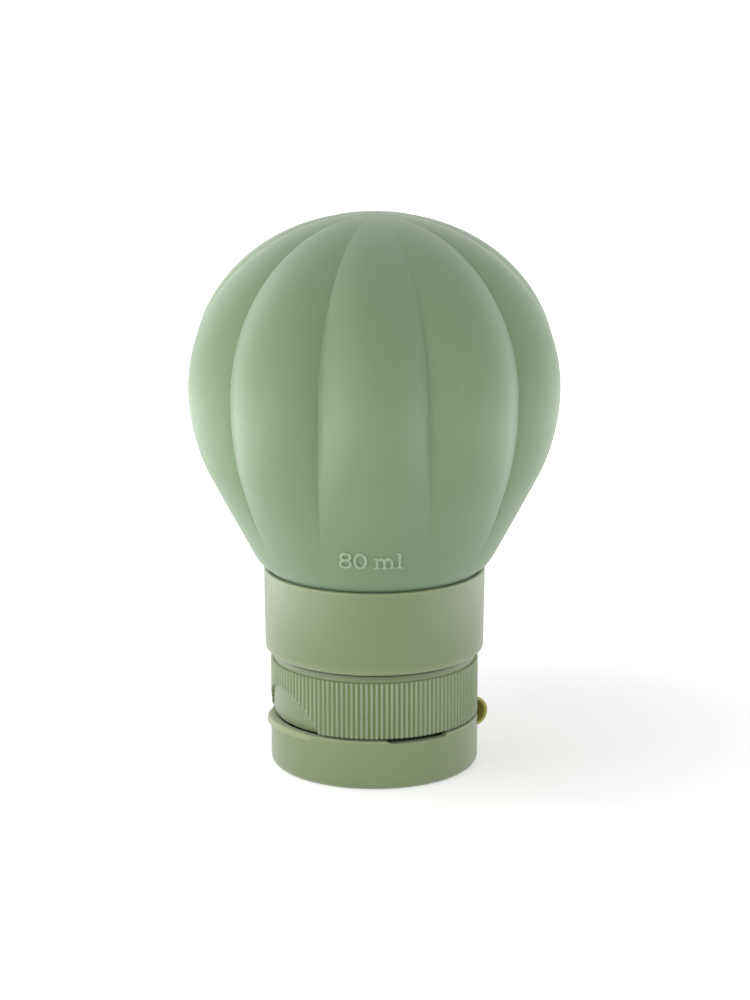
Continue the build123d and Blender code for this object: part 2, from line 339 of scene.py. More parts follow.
class Finish:
    """A material with one Principled shader, whose constants are set on the shader itself."""

    def __init__(self, name, colour, roughness, **constants):
        self.material = bpy.data.materials.new(name)
        self.material.use_nodes = True
        self.tree = self.material.node_tree
        self.shader = self.tree.nodes["Principled BSDF"]
        self.colour = linear(colour)
        self.shader.inputs["Base Color"].default_value = self.colour
        self.shader.inputs["Roughness"].default_value = roughness
        for name, value in constants.items():
            self.shader.inputs[name].default_value = value

    def clouds(self, per_metre, detail):
        """The finish's own colour, in patches a twenty-fifth deeper and lighter."""
        deep = (*[part * 0.96 for part in self.colour[:3]], 1)
        fair = (*[part * 1.04 for part in self.colour[:3]], 1)
        return self.tint(self.noise(per_metre, detail), deep, fair)

    def node(self, kind, settings, inputs, output=0):
        """Any other node: its settings first, then its inputs, and the output that is wanted."""
        node = self.tree.nodes.new(kind)
        for setting, value in settings.items():
            setattr(node, setting, value)
        for socket, value in inputs.items():
            self.set(node.inputs[socket], value)
        return Signal(self, node.outputs[output])

    def set(self, socket, value):
        if isinstance(value, Signal):
            self.tree.links.new(value.socket, socket)
        else:
            socket.default_value = value

    def place(self):
        return self.node("ShaderNodeTexCoord", {}, {}, "Object")

    def height(self):
        return self.node("ShaderNodeSeparateXYZ", {}, {0: self.place()}, "Z")

    def radius(self):
        """Distance from the bottle's axis."""
        flat = self.node("ShaderNodeVectorMath", {"operation": "MULTIPLY"}, {0: self.place(), 1: (1, 1, 0)})
        return self.node("ShaderNodeVectorMath", {"operation": "LENGTH"}, {0: flat}, "Value")

    def noise(self, per_metre, detail, roughness=0.5):
        inputs = {"Vector": self.place(), "Scale": per_metre, "Detail": detail, "Roughness": roughness}
        return self.node("ShaderNodeTexNoise", {}, inputs, "Fac")

    def band(self, value, low, high):
        """0 below low and 1 above high, eased in between."""
        settings = {"interpolation_type": "SMOOTHSTEP", "clamp": True}
        return self.node("ShaderNodeMapRange", settings, {"Value": value, "From Min": low, "From Max": high})

    def tint(self, share, first, second):
        """Mixes two colours by a share."""
        settings = {"data_type": "RGBA", "clamp_factor": True}
        return self.node("ShaderNodeMix", settings, {0: share, 6: first, 7: second}, 2)

    def feed(self, name, value):
        self.set(self.shader.inputs[name], value)

    def relief(self, height, depth, strength):
        bump = {"Height": height, "Distance": depth, "Strength": strength}
        self.feed("Normal", self.node("ShaderNodeBump", {}, bump, "Normal"))

    def put_on(self, piece):
        piece.data.materials.clear()
        piece.data.materials.append(self.material)


HAIRS_PER_METRE = 4500
HAIR_STRETCH = (1, 1, 0.12)
DUST_GREEN = (176, 192, 165)
DUST_SHARE = 0.22
GRAIN_DEPTH = 0.012 * MM
soft_touch = {"Sheen Weight": 0.5, "Sheen Roughness": 0.45, "Specular IOR Level": 0.75}
silicone = Finish("sage_silicone", BULB_SAGE, 0.5, **soft_touch)


def hairs(rotation):
    """Fine short hairs of dust that all lie one way."""
    inputs = {"Vector": silicone.place(), "Rotation": rotation, "Scale": HAIR_STRETCH}
    slanted = silicone.node("ShaderNodeMapping", {}, inputs, "Vector")
    inputs = {"Vector": slanted, "Scale": HAIRS_PER_METRE, "Detail": 0}
    drawn = silicone.node("ShaderNodeTexNoise", {}, inputs, "Fac")
    return silicone.band(drawn, 0.68, 0.8)


patches = silicone.band(silicone.noise(90, 2), 0.45, 0.62)
dusty = (hairs((0.5, 0.7, 0)) + hairs((-0.3, -0.6, 0))) * patches
clouded = silicone.clouds(70, 4)
silicone.feed("Base Color", silicone.tint(dusty * DUST_SHARE, clouded, linear(DUST_GREEN)))
silicone.feed("Roughness", 0.43 + silicone.noise(420, 3) * 0.1)
silicone.relief(silicone.noise(2600, 3, 0.6) + silicone.noise(240, 2) * 2.5, GRAIN_DEPTH, 0.6)
silicone.put_on(bulb)

# Capacity mark: "80 ml" in plain slab letters, raised a third of a millimetre on the front gore.
# Moulded in one with the silicone, so it follows its surface and has its sheen, roughness and fine grain;
# its colour is painted lighter, a painted highlight for the light that the raised letters catch.
MARK_BASE = 38.05 * MM
DIGIT_HEIGHT = 2.8 * MM
STEM = 0.39 * MM
SLAB = 0.28 * MM
X_HEIGHT = 1.98 * MM
MARK_RELIEF = 0.3 * MM
MARK_EDGE = 0.07 * MM
MARK_PLANE = -29 * MM
EIGHT_MIDDLE = -4.47 * MM
EIGHT_TOP_LOOP = (1.36 * MM, DIGIT_HEIGHT, 1.85 * MM)
EIGHT_FOOT_LOOP = (0, 1.6 * MM, 2.04 * MM)
ZERO_MIDDLE = -2.18 * MM
ZERO_WIDTH = 2.12 * MM
M_STEMS = (0.42 * MM, 1.59 * MM, 2.76 * MM)
L_STEM = 3.94 * MM
SERIF = 0.46 * MM
# Painted highlight: the letters' sage is paler than the bulb's, for the light that the raised letters catch.
MARK_PAINTED_HIGHLIGHT_SAGE = (182, 209, 171)


def oval(middle, low, high, width):
    """A flat oval ring, thicker at its sides than at its top."""
    centre = (middle, MARK_PLANE, MARK_BASE + (low + high) / 2)
    height = high - low
    bpy.ops.mesh.select_all(action="DESELECT")
    bpy.ops.mesh.primitive_circle_add(vertices=48, radius=MM, location=centre, rotation=(math.pi / 2, 0, 0))
    bpy.ops.transform.resize(value=(width / 2 / MM, 1, height / 2 / MM), center_override=centre)
    bpy.ops.mesh.extrude_region_move(TRANSFORM_OT_translate={"value": (0, 0, 0)})
    inner = (1 - 2 * STEM / width, 1, 1 - 2 * SLAB / height)
    bpy.ops.transform.resize(value=inner, center_override=centre)


def bar(left, right, low, high):
    """A flat upright or level stroke."""
    centre = ((left + right) / 2, MARK_PLANE, MARK_BASE + (low + high) / 2)
    bpy.ops.mesh.select_all(action="DESELECT")
    bpy.ops.mesh.primitive_plane_add(size=MM, location=centre, rotation=(math.pi / 2, 0, 0))
    bpy.ops.transform.resize(value=((right - left) / MM, 1, (high - low) / MM), center_override=centre)
    bpy.ops.mesh.subdivide(number_cuts=3)


def arch(left, right, top):
    """The half-round shoulder between two stems of the m."""
    outer = (right - left) / 2
    centre = (left + outer, MARK_PLANE, MARK_BASE + top - outer)
    pin_point((left, MARK_PLANE, centre[2]))
    bpy.ops.mesh.extrude_region_move(TRANSFORM_OT_translate={"value": (STEM, 0, 0)})
    bpy.ops.mesh.select_linked()
    bpy.ops.mesh.spin(steps=14, angle=-math.pi, center=centre, axis=(0, 1, 0))


mark = start_mesh("capacity_mark")
oval(EIGHT_MIDDLE, *EIGHT_TOP_LOOP)
oval(EIGHT_MIDDLE, *EIGHT_FOOT_LOOP)
oval(ZERO_MIDDLE, 0, DIGIT_HEIGHT, ZERO_WIDTH)
arch_foot = X_HEIGHT - (M_STEMS[1] - M_STEMS[0] + STEM) / 2
for middle, top in zip((*M_STEMS, L_STEM), (X_HEIGHT, arch_foot, arch_foot, DIGIT_HEIGHT)):
    bar(middle - STEM / 2, middle + STEM / 2, 0, top)
    bar(middle - SERIF, middle + SERIF, 0, SLAB)
for middle, top in ((M_STEMS[0], X_HEIGHT), (L_STEM, DIGIT_HEIGHT)):
    bar(middle - SERIF, middle, top - SLAB, top)
for left, right in zip(M_STEMS, M_STEMS[1:]):
    arch(left - STEM / 2, right + STEM / 2, X_HEIGHT)
leave()
onto_bulb = {"wrap_method": "PROJECT", "use_project_y": True, "use_positive_direction": True}
apply_modifier(mark, "SHRINKWRAP", target=bulb, **onto_bulb)
apply_modifier(mark, "SOLIDIFY", thickness=2 * MARK_RELIEF, offset=0)
edit(mark)
bpy.ops.mesh.select_all(action="SELECT")
bpy.ops.mesh.normals_make_consistent(inside=False)
leave()
apply_modifier(mark, "BEVEL", width=MARK_EDGE, segments=2, limit_method="ANGLE")
smooth(mark, 35)
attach(mark, "bottle")
# Painted highlight: the mark gets a paler sage than the bulb, for the light that the raised letters catch.
raised = Finish("mark_silicone_painted_highlight", MARK_PAINTED_HIGHLIGHT_SAGE, 0.5, **soft_touch)
raised.feed("Roughness", 0.43 + raised.noise(420, 3) * 0.1)
raised.relief(raised.noise(2600, 3, 0.6), GRAIN_DEPTH, 0.6)
raised.put_on(mark)

# Collar: smooth ring of satin sage plastic that clamps the silicone neck on the insert.
# Turned profile with a slight taper, a thin rim at the bulb and a soft rounding at the cap.
COLLAR_TOP_RADIUS = 18.04 * MM
COLLAR_BOTTOM_RADIUS = 17.83 * MM
COLLAR_EDGE = 0.95 * MM
COLLAR_BORE = 16.2 * MM
COLLAR_RIM_WALL = 0.68 * MM
COLLAR_RIM_DEPTH = 2.9 * MM
COLLAR_FLANGE = 1.5 * MM
COLLAR_HOLE = 13.7 * MM
COLLAR_HOLE_EDGE = 0.2 * MM
COLLAR_RIM_EDGE = 0.22 * MM
# Heights and colour of the painted light on the collar's bottom edge and rim.
LOWER_EDGE_PAINTED_LIGHT = 1.7 * MM
UPPER_EDGE_PAINTED_LIGHT = 0.6 * MM
SAGE = (138, 157, 106)
EDGE_PAINTED_LIGHT_SAGE = (163, 178, 124)


def near(place, corner):
    """Answers for a vertex that stands on a corner of the outline."""
    return math.hypot(place.x - corner[0], place.z - corner[1]) < 0.01 * MM


def turned(name, corners, steps=128, rounding_steps=4):
    """A turned piece: the outline's corners (radius, height, rounding) drawn, rounded and spun."""
    piece = start_mesh(name)
    draw_outline(corners)
    reaches_axis = min(corners[0][0], corners[-1][0]) == 0
    if not reaches_axis:
        pick(piece, lambda place: any(near(place, corner) for corner in (corners[0], corners[-1])))
        bpy.ops.mesh.edge_face_add()
    for size in sorted({corner[2] for corner in corners if corner[2] > 0}, reverse=True):
        pick(piece, lambda place: any(near(place, corner) for corner in corners if corner[2] == size))
        bpy.ops.mesh.bevel(offset=size, segments=rounding_steps, affect="VERTICES")
    bpy.ops.mesh.select_all(action="SELECT")
    bpy.ops.mesh.spin(steps=steps, angle=TURN, center=(0, 0, 0), axis=(0, 0, 1))
    seal_up()
    leave()
    return piece


collar_bottom = collar_low.z
collar_bore_end = collar_top - COLLAR_RIM_DEPTH
collar = turned(
    "collar_ring",
    [
        (COLLAR_HOLE, collar_bottom, COLLAR_HOLE_EDGE),
        (COLLAR_BOTTOM_RADIUS, collar_bottom, COLLAR_EDGE),
        (COLLAR_TOP_RADIUS, collar_top, COLLAR_RIM_EDGE),
        (COLLAR_TOP_RADIUS - COLLAR_RIM_WALL, collar_top, COLLAR_RIM_EDGE),
        (COLLAR_TOP_RADIUS - COLLAR_RIM_WALL, collar_bore_end, 0),
        (COLLAR_BORE, collar_bore_end, 0),
        (COLLAR_BORE, collar_bottom + COLLAR_FLANGE, 0),
        (COLLAR_HOLE, collar_bottom + COLLAR_FLANGE, 0),
    ],
)
smooth(collar, 30)
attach(collar, "bottle")
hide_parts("collar")


def moulded(name, colour, roughness):
    """Satin injection-moulded plastic: faint flow clouding and a fine spark-eroded grain."""
    sheen = {"Sheen Weight": 0.6, "Sheen Roughness": 0.45, "Specular IOR Level": 0.95}
    finish = Finish(name, colour, roughness, **sheen)
    finish.clouded = finish.clouds(90, 3)
    finish.feed("Base Color", finish.clouded)
    finish.feed("Roughness", roughness - 0.04 + finish.noise(900, 3) * 0.08)
    finish.relief(finish.noise(4200, 2, 0.6), 0.006 * MM, 0.5)
    return finish


collar_plastic = moulded("sage_collar_plastic", SAGE, 0.4)
collar_height = collar_plastic.height()
# Painted light: the collar is painted paler in a band at its bottom edge and at its rim, for the light that
# glows through the thin plastic there.
lower_band_light = 1 - collar_plastic.band(collar_height, collar_bottom, collar_bottom + LOWER_EDGE_PAINTED_LIGHT)
upper_band_light = collar_plastic.band(collar_height, collar_top - UPPER_EDGE_PAINTED_LIGHT, collar_top)
edges_painted_light = collar_plastic.tint(lower_band_light + upper_band_light, collar_plastic.clouded, linear(EDGE_PAINTED_LIGHT_SAGE))
collar_plastic.feed("Base Color", edges_painted_light)
collar_plastic.put_on(collar)

# Neck insert: the rigid mouth of the bottle, natural white plastic. Its spigot is pushed up into the
# silicone neck, its flange is clamped by the collar, and its threaded tube takes the screw cap.
insert_low, insert_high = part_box("neck_insert")
MOUTH = 11.2 * MM
NECK_TUBE = 13.4 * MM
SPIGOT = 12.98 * MM
FLANGE_THICKNESS = 1.5 * MM
FLANGE_EDGE = 0.15 * MM
MOUTH_EDGE = 0.3 * MM
SPIGOT_EDGE = 0.5 * MM
THREAD_PITCH = 3.0 * MM
THREAD_RISE = 0.62 * MM
THREAD_ROOT = 0.15 * MM
THREAD_HALF_BASE = 0.62 * MM
THREAD_HALF_CREST = 0.28 * MM
THREAD_START = 1.5 * MM
THREAD_STEPS = 72
NECK_THREAD_TURNS = 1.25
NATURAL_WHITE = (226, 228, 219)
flange_bottom = collar_bottom + COLLAR_FLANGE
flange_top = flange_bottom + FLANGE_THICKNESS
insert = turned(
    "neck_insert_body",
    [
        (MOUTH, insert_low.z, MOUTH_EDGE),
        (NECK_TUBE, insert_low.z, MOUTH_EDGE),
        (NECK_TUBE, flange_bottom, 0),
        (NECK_OUTER, flange_bottom, FLANGE_EDGE),
        (NECK_OUTER, flange_top, FLANGE_EDGE),
        (SPIGOT, flange_top, 0),
        (SPIGOT, insert_high.z, SPIGOT_EDGE),
        (MOUTH, insert_high.z, SPIGOT_EDGE),
    ],
)


def thread(name, wall, rise, low, turns, body):
    """A right-hand thread: a small ridge section carried round and up by the screw modifier."""
    piece = start_mesh(name)
    sink = -math.copysign(THREAD_ROOT, rise)
    section = [
        (wall + sink, low - THREAD_HALF_BASE),
        (wall, low - THREAD_HALF_BASE),
        (wall + rise, low - THREAD_HALF_CREST),
        (wall + rise, low + THREAD_HALF_CREST),
        (wall, low + THREAD_HALF_BASE),
        (wall + sink, low + THREAD_HALF_BASE),
    ]
    draw_outline(section)
    bpy.ops.mesh.select_all(action="SELECT")
    bpy.ops.mesh.edge_face_add()
    leave()
    steps = int(THREAD_STEPS * turns)
    climb = {"angle": TURN * turns, "screw_offset": THREAD_PITCH * turns}
    apply_modifier(piece, "SCREW", steps=steps, render_steps=steps, **climb)
    edit(piece)
    seal_up()
    leave()
    smooth(piece, 30)
    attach(piece, body)
    return piece


smooth(insert, 30)
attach(insert, "bottle")
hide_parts("neck_insert")
thread_low = insert_low.z + THREAD_START
male_thread = thread(
    "neck_thread", NECK_TUBE, THREAD_RISE, thread_low, NECK_THREAD_TURNS, "bottle"
)
neck_plastic = moulded("natural_neck_plastic", NATURAL_WHITE, 0.36)
neck_plastic.put_on(insert)
neck_plastic.put_on(male_thread)

# Screw cap: ribbed skirt of satin sage plastic, one moulding with a smooth band above the ribs, a thumb
# scoop above the lid's lip, and a deck inside that carries the spout and the seat of the valve.
cap_low, cap_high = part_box("screw_cap")
CAP_RADIUS = 17.0 * MM
LID_RIM = 8.3 * MM
PARTING = 0.35 * MM
RIBS = 130
RIB_COLUMNS = 6
RIB_PROFILE = ((3, 0.3 * MM), (2, 0.2 * MM), (1, 0.05 * MM))
RIB_BAND = 9.25 * MM
FINE_STEPS = 180
BAND_RADIUS = 16.5 * MM
CAP_BORE = 14.6 * MM
CROWN_RING = 13.2 * MM
CROWN_RING_BORE = 11.9 * MM
SHOULDER = 3.15 * MM
SPOUT_DROP = 1.4 * MM
DECK = 1.3 * MM
SPOUT_RADIUS = 3.6 * MM
OUTLET = 2.4 * MM
POCKET_INNER = 6.1 * MM
POCKET_OUTER = 7.4 * MM
POCKET_HEIGHT = 3.0 * MM
LIP_AZIMUTH = math.radians(-64.5)
HINGE_AZIMUTH = LIP_AZIMUTH + math.pi
SCOOP_HALF_WIDTH = 9.1 * MM
SCOOP_HEIGHT = 5.95 * MM
SCOOP_DEPTH_BOTTOM = 0.5 * MM
SCOOP_DEPTH_TOP = 0.6 * MM
SCOOP_FOOT_HEIGHT = 0.8 * MM
SCOOP_FOOT_INSET = 0.45 * MM
HINGE_FLAT = 14.8 * MM
STRAP_HALF_HEIGHT = 2.43 * MM
STRAP_ROOM = 0.3 * MM
SLACK = 2.0 * MM
SKIRT_EDGE = 0.15 * MM
RIB_TOP_EDGE = 0.12 * MM
RIB_CATCH = 0.16 * MM
SMALL_EDGE = 0.2 * MM
SPOUT_EDGE = 0.3 * MM
BAND_EDGE = 0.25 * MM
SCOOP_FOOT_EDGE = 0.5 * MM
CAP_THREAD_TURNS = 1.0
# Painted light on the ribs: a paler green painted on the crests as a highlight, and an olive cast painted in
# the valleys for the light that the ribs throw into them and let through.
CREST_PAINTED_HIGHLIGHT_GREEN = (170, 190, 153)
CREST_HIGHLIGHT_SHARE = 0.85
VALLEY_PAINTED_OLIVE = (138, 155, 92)
# Painted shade: the darker sage that the band above the ribs is painted with, for the collar's shadow.
BAND_PAINTED_SHADE_SAGE = (112, 128, 84)
cap_bottom = LID_RIM + PARTING
cap_top = cap_high.z
ribs_top = cap_bottom + RIB_BAND
deck_bottom = cap_low.z + SPOUT_DROP
deck_top = deck_bottom + DECK
shoulder = cap_bottom + SHOULDER
hinge_height = LID_RIM + PARTING / 2
cap = turned(
    "ribbed_cap",
    [
        (OUTLET, cap_low.z, SMALL_EDGE),
        (SPOUT_RADIUS, cap_low.z, SPOUT_EDGE),
        (SPOUT_RADIUS, deck_bottom, 0),
        (CROWN_RING, deck_bottom, SPOUT_EDGE),
        (CROWN_RING, cap_bottom, 0),
        (CAP_RADIUS, cap_bottom, SKIRT_EDGE),
        (CAP_RADIUS, ribs_top, RIB_TOP_EDGE),
        (BAND_RADIUS, ribs_top, 0),
        (BAND_RADIUS, cap_top, BAND_EDGE),
        (CAP_BORE, cap_top, SPOUT_EDGE),
        (CAP_BORE, shoulder, 0),
        (CROWN_RING_BORE, shoulder, 0),
        (CROWN_RING_BORE, deck_top, 0),
        (POCKET_OUTER, deck_top, 0),
        (POCKET_OUTER, deck_top + POCKET_HEIGHT, SMALL_EDGE),
        (POCKET_INNER, deck_top + POCKET_HEIGHT, SMALL_EDGE),
        (POCKET_INNER, deck_top, 0),
        (OUTLET, deck_top, 0),
    ],
    steps=RIB_COLUMNS * RIBS,
    rounding_steps=2,
)


def columns(number):
    """Answers for the skirt's outer vertices that stand a number of columns from the crest of a rib."""

    def wanted(place):
        turn = math.atan2(place.y, place.x) / TURN * RIBS * RIB_COLUMNS
        from_crest = round(turn) % RIB_COLUMNS
        outside = math.hypot(place.x, place.y) > CAP_RADIUS - RIB_CATCH
        return outside and number in (from_crest, RIB_COLUMNS - from_crest)

    return wanted


edit(cap)
for number, sunk in RIB_PROFILE:
    pick(cap, columns(number))
    shrink_to_axis(1 - sunk / CAP_RADIUS)
leave()


def turn_to(piece, azimuth):
    """Turns a piece that was made along +X to face an azimuth, in its mesh."""
    edit(piece)
    bpy.ops.mesh.select_all(action="SELECT")
    bpy.ops.transform.rotate(value=math.pi / 2 - azimuth, orient_axis="Z", center_override=(0, 0, 0))
    leave()


def block(name, low, high):
    """A box between two corners, to cut with or to add."""
    piece = start_mesh(name)
    middle = [(first + second) / 2 for first, second in zip(low, high)]
    sizes = [second - first for first, second in zip(low, high)]
    bpy.ops.mesh.primitive_cube_add(size=1, location=middle, scale=sizes)
    leave()
    return piece


def carve(piece, cutter, operation="DIFFERENCE"):
    """Cuts, adds or keeps with another piece, which is then thrown away."""
    apply_modifier(piece, "BOOLEAN", operation=operation, object=cutter, solver="EXACT")
    bpy.data.objects.remove(cutter)


scoop_top = cap_bottom + SCOOP_HEIGHT
scoop_radius = (SCOOP_HALF_WIDTH**2 + SCOOP_HEIGHT**2) / (2 * SCOOP_HEIGHT)
scoop_floor = CAP_RADIUS - SCOOP_DEPTH_BOTTOM
scoop = turned(
    "scoop_cutter",
    [
        (scoop_floor - SCOOP_FOOT_INSET, cap_bottom - SLACK, 0),
        (CAP_RADIUS + SLACK, cap_bottom - SLACK, 0),
        (CAP_RADIUS + SLACK, scoop_top + SLACK, 0),
        (CAP_RADIUS - SCOOP_DEPTH_TOP, scoop_top + SLACK, 0),
        (scoop_floor, cap_bottom + SCOOP_FOOT_HEIGHT, SCOOP_FOOT_EDGE),
        (scoop_floor - SCOOP_FOOT_INSET, cap_bottom, 0),
    ],
    steps=FINE_STEPS,
)
drill = start_mesh("scoop_drill")
bpy.ops.mesh.primitive_cylinder_add(
    vertices=128,
    radius=scoop_radius,
    depth=2 * CAP_RADIUS,
    location=(CAP_RADIUS + SLACK, 0, scoop_top - scoop_radius),
    rotation=(0, math.pi / 2, 0),
)
leave()
carve(scoop, drill, "INTERSECT")
turn_to(scoop, LIP_AZIMUTH)
carve(cap, scoop)
pocket_low = (HINGE_FLAT, -CAP_RADIUS, cap_bottom - SLACK)
pocket_high = (CAP_RADIUS + SLACK, CAP_RADIUS, hinge_height + STRAP_HALF_HEIGHT + STRAP_ROOM)
pocket = block("cap_hinge_pocket", pocket_low, pocket_high)
turn_to(pocket, HINGE_AZIMUTH)
carve(cap, pocket)
smooth(cap, 28)
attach(cap, "cap")
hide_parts("screw_cap")
cap_thread_low = thread_low + THREAD_PITCH / 2
female_thread = thread(
    "cap_thread", CAP_BORE, -THREAD_RISE, cap_thread_low, CAP_THREAD_TURNS, "cap"
)
cap_plastic = moulded("sage_cap_plastic", SAGE, 0.42)
from_axis = cap_plastic.radius()
# Painted highlight on the rib crests and painted olive light in the valleys between them, by distance from
# the axis.
crest_highlight = cap_plastic.band(from_axis, CAP_RADIUS - 0.17 * MM, CAP_RADIUS - 0.02 * MM)
valley_painted_light = cap_plastic.band(from_axis, BAND_RADIUS + 0.05 * MM, BAND_RADIUS + 0.15 * MM) - crest_highlight
# Painted shade: the cap darkens from the top of the ribs up to its top, for the shadow under the collar.
collar_shadow_share = cap_plastic.band(cap_plastic.height(), ribs_top, cap_top)
band_painted_shade = cap_plastic.tint(collar_shadow_share, cap_plastic.clouded, linear(BAND_PAINTED_SHADE_SAGE))
valleys_painted_light = cap_plastic.tint(valley_painted_light, band_painted_shade, linear(VALLEY_PAINTED_OLIVE))
ribbed = cap_plastic.tint(crest_highlight * CREST_HIGHLIGHT_SHARE, valleys_painted_light, linear(CREST_PAINTED_HIGHLIGHT_GREEN))
cap_plastic.feed("Base Color", ribbed)
cap_plastic.put_on(cap)
cap_plastic.put_on(female_thread)

# Flip lid: shallow cup of the same satin plastic, on which the bottle stands. It has a thumb lip under
# the scoop, a slant-ended dip in its rim on either side, and a hollow plug that closes the outlet.
LID_WALL = 1.1 * MM
LID_FLOOR = 1.2 * MM
LID_EDGE = 1.3 * MM
LIP_REACH = 0.95 * MM
LIP_HALF_ANGLE = math.radians(31)
LIP_THICKNESS = 1.15 * MM
LIP_RISE = 0.4 * MM
GATE_AZIMUTH = math.radians(-41.5)
DIP_HALF_WIDTH = 5.4 * MM
DIP_SLOPE = 0.55 * MM
DIP_DEPTH = 0.45 * MM
PLUG = 2.0 * MM
PLUG_TIP = 1.7 * MM
PLUG_BORE = 0.9 * MM
PLUG_ENGAGEMENT = 1.6 * MM
PLUG_EDGE = 0.1 * MM
HINGE_BACK_WALL = 1.1 * MM
RIM_OUTER_EDGE = 0.18 * MM
RIM_INNER_EDGE = 0.15 * MM
FLOOR_FILLET = 0.4 * MM
LIP_EDGE = 0.3 * MM
LIP_ROOT = 0.4 * MM
GATE_RADIUS = 0.28 * MM
GATE_HEIGHT = 0.5 * MM
GATE_PROUD = 0.05 * MM
# Painted light: the lid's sage is lighter than the cap's, though it is the same plastic, for the white
# floor's light on the lid.
LID_PAINTED_LIGHT_SAGE = (147, 166, 113)
# Colour of the painted highlight along the lid's rim and on its lip.
LID_PAINTED_HIGHLIGHT_SAGE = (176, 189, 134)
lid = turned(
    "flip_lid_cup",
    [
        (0, 0, 0),
        (CAP_RADIUS, 0, LID_EDGE),
        (CAP_RADIUS, LID_RIM - LIP_THICKNESS - LIP_ROOT, 0),
        (CAP_RADIUS, LID_RIM, RIM_OUTER_EDGE),
        (CAP_RADIUS - LID_WALL, LID_RIM, RIM_INNER_EDGE),
        (CAP_RADIUS - LID_WALL, LID_FLOOR, FLOOR_FILLET),
        (PLUG, LID_FLOOR, 0),
        (PLUG, cap_low.z, 0),
        (PLUG_TIP, cap_low.z + PLUG_ENGAGEMENT, PLUG_EDGE),
        (PLUG_BORE, cap_low.z + PLUG_ENGAGEMENT, PLUG_EDGE),
        (PLUG_BORE, LID_FLOOR, 0),
        (0, LID_FLOOR, 0),
    ],
    steps=FINE_STEPS,
)
lip_tip = CAP_RADIUS + LIP_REACH
lip_chord = CAP_RADIUS * math.cos(LIP_HALF_ANGLE)
lip_shift = (lip_tip**2 - CAP_RADIUS**2) / (2 * (lip_tip - lip_chord))
lip = start_mesh("lid_lip")
bpy.ops.mesh.primitive_cylinder_add(
    vertices=200,
    radius=lip_tip - lip_shift,
    depth=LIP_THICKNESS,
    location=(lip_shift, 0, LID_RIM - LIP_THICKNESS / 2),
)
leave()
apply_modifier(lip, "BEVEL", width=LIP_EDGE, segments=3, limit_method="ANGLE")
edit(lip)
bpy.ops.mesh.select_all(action="SELECT")
lip_tilt = math.atan2(LIP_RISE, lip_tip - lip_chord)
bpy.ops.transform.rotate(value=lip_tilt, orient_axis="Y", center_override=(lip_chord, 0, LID_RIM))
leave()
inside = CAP_RADIUS - LID_WALL / 2
above = LID_RIM + SLACK
room = turned(
    "lid_room",
    [(0, -SLACK, 0), (inside, -SLACK, 0), (inside, above, 0), (0, above, 0)],
    steps=FINE_STEPS,
)
carve(lip, room)
turn_to(lip, LIP_AZIMUTH)
carve(lid, lip, "UNION")
back_wall = turned(
    "lid_back_wall",
    [(0, LID_FLOOR / 2, 0), (inside, LID_FLOOR / 2, 0), (inside, LID_RIM, 0), (0, LID_RIM, 0)],
    steps=FINE_STEPS,
)
wall_side = (HINGE_FLAT - HINGE_BACK_WALL, -CAP_RADIUS, 0)
keep = block("back_wall_side", wall_side, (CAP_RADIUS, CAP_RADIUS, above))
carve(back_wall, keep, "INTERSECT")
turn_to(back_wall, HINGE_AZIMUTH)
carve(lid, back_wall, "UNION")
pocket_low = (HINGE_FLAT, -CAP_RADIUS, hinge_height - STRAP_HALF_HEIGHT - STRAP_ROOM)
lid_pocket = block("lid_hinge_pocket", pocket_low, (CAP_RADIUS + SLACK, CAP_RADIUS, above))
turn_to(lid_pocket, HINGE_AZIMUTH)
carve(lid, lid_pocket)
gate = start_mesh("gate_nub")
bpy.ops.mesh.primitive_cylinder_add(
    vertices=20,
    radius=GATE_RADIUS,
    depth=GATE_HEIGHT,
    location=polar(CAP_RADIUS + GATE_PROUD, GATE_AZIMUTH, LID_RIM),
)
leave()
carve(lid, gate, "UNION")
dip_low = (0, -DIP_HALF_WIDTH, LID_RIM - DIP_DEPTH)
dip_high = (CAP_RADIUS + SLACK, DIP_HALF_WIDTH, LID_RIM + DIP_DEPTH)
for side in (1, -1):
    dip = block("lid_dip", dip_low, dip_high)
    edit(dip)
    pick(dip, lambda place: place.z < LID_RIM)
    bpy.ops.transform.resize(value=(1, 1 - DIP_SLOPE / DIP_HALF_WIDTH, 1), center_override=(0, 0, 0))
    pick(dip, lambda place: place.z > LID_RIM)
    bpy.ops.transform.resize(value=(1, 1 + DIP_SLOPE / DIP_HALF_WIDTH, 1), center_override=(0, 0, 0))
    leave()
    turn_to(dip, LIP_AZIMUTH + side * math.pi / 2)
    carve(lid, dip)
smooth(lid, 28)
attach(lid, "lid")
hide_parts("flip_lid")
# The lid's base colour is painted lighter than the cap's and collar's, for the light that the floor throws
# on it.
lid_plastic = moulded("sage_lid_plastic_painted_lighter", LID_PAINTED_LIGHT_SAGE, 0.42)
# Painted highlight: a pale line just under the rim and a paler lip, for the light that the rim's edge and
# the lip catch.
rim_painted_highlight = lid_plastic.band(lid_plastic.height(), LID_RIM - 0.55 * MM, LID_RIM - 0.15 * MM) * 0.5
lip_painted_highlight = lid_plastic.band(lid_plastic.radius(), CAP_RADIUS + 0.05 * MM, CAP_RADIUS + 0.4 * MM)
edges_painted_light = lid_plastic.tint(rim_painted_highlight + lip_painted_highlight, lid_plastic.clouded, linear(LID_PAINTED_HIGHLIGHT_SAGE))
lid_plastic.feed("Base Color", edges_painted_light)
lid_plastic.put_on(lid)

# Hinge strap: thin bowed band of the cap's plastic across the flat at the back. On the bottle it thins to a
# film line where it joins cap and lid, and it bends when the lid is flipped open; here it has one thickness
# and shape.
STRAP_HALF_WIDTH = 8.3 * MM
STRAP_REACH = 1.95 * MM
STRAP_THICKNESS = 0.5 * MM
STRAP_EDGE = 0.12 * MM
STRAP_COLUMNS = 16
STRAP_BOW_STEPS = 20
